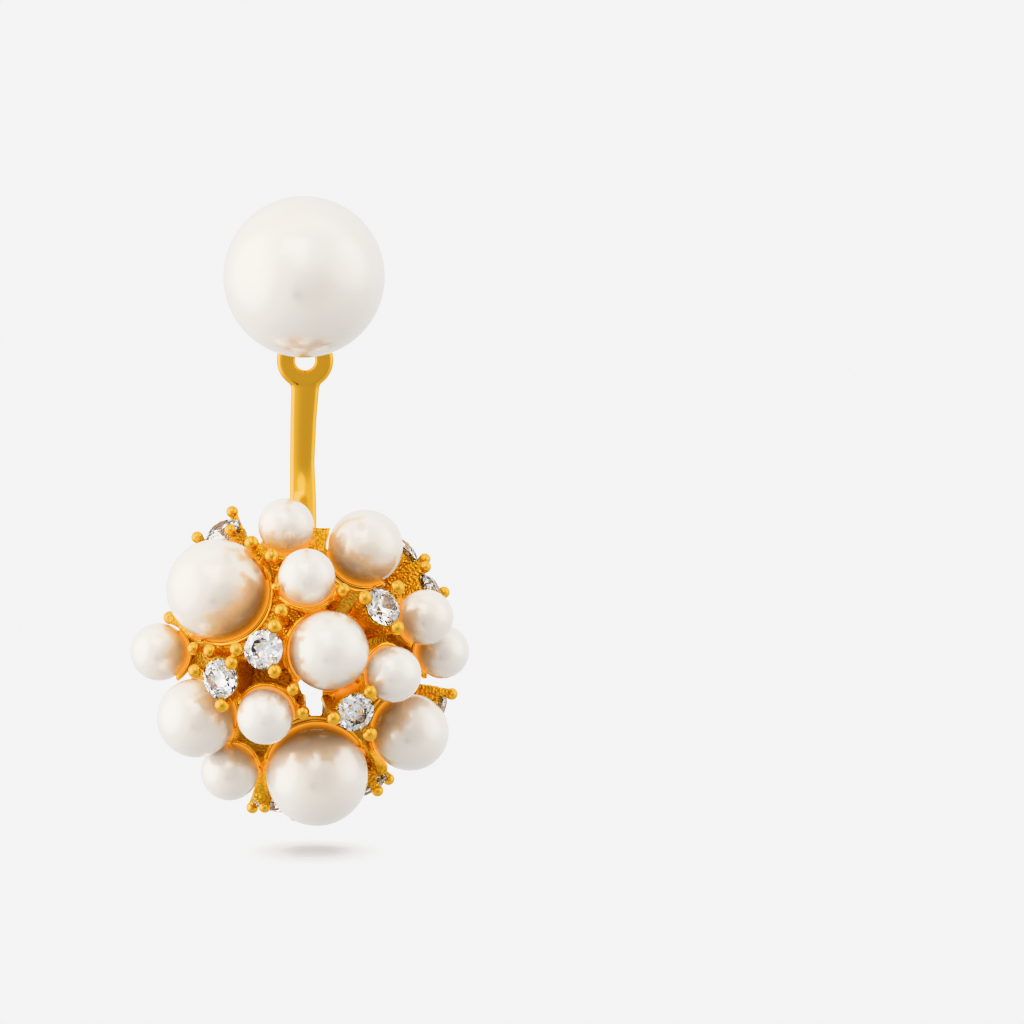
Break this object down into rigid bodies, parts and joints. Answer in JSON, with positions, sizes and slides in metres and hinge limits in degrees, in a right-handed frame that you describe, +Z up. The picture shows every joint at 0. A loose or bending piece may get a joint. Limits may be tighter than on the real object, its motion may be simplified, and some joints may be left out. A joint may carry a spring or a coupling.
{
  "type": "ear jacket earring",
  "caption": "Pearl stud earring with a gold jacket bar that hangs behind the lobe and carries a hollow half-ball of pearls and clear stones.",
  "frame": {"origin": "on the axis of the ear post, at the back of the stud's cup, where the front of the ear lobe sits", "axes": "+Z up, as the earring hangs; -Y is the front, which the wearer shows; the post runs back along +Y; +X is to the right in the front view"},
  "size_m": [0.0252, 0.0231, 0.0468],
  "materials": {
    "gold": "polished gold plate, cast texture in the recesses",
    "pearl": "pearl lustre",
    "stone": "faceted and polished"
  },
  "bodies": {
    "stud": {"stud_pearl": "pearl", "stud_post": "gold", "ear_nut": "gold"},
    "jacket": {"jacket_frame": "gold", "pearl_1": "pearl", "pearl_2": "pearl", "pearl_3": "pearl", "pearl_4": "pearl", "pearl_5": "pearl", "pearl_6": "pearl", "pearl_7": "pearl", "pearl_8": "pearl", "pearl_9": "pearl", "pearl_10": "pearl", "pearl_11": "pearl", "pearl_12": "pearl", "pearl_13": "pearl", "pearl_14": "pearl", "stone_1": "stone", "stone_2": "stone", "stone_3": "stone", "stone_4": "stone", "stone_5": "stone", "stone_6": "stone", "stone_7": "stone", "stone_8": "stone", "stone_9": "stone", "stone_10": "stone"}
  },
  "joints": [
    {"name": "jacket_swing", "type": "hinge", "parent": "stud", "child": "jacket", "pos_m": [0, 0, 0], "axis": [0, 1, 0], "continuous": true}
  ]
}
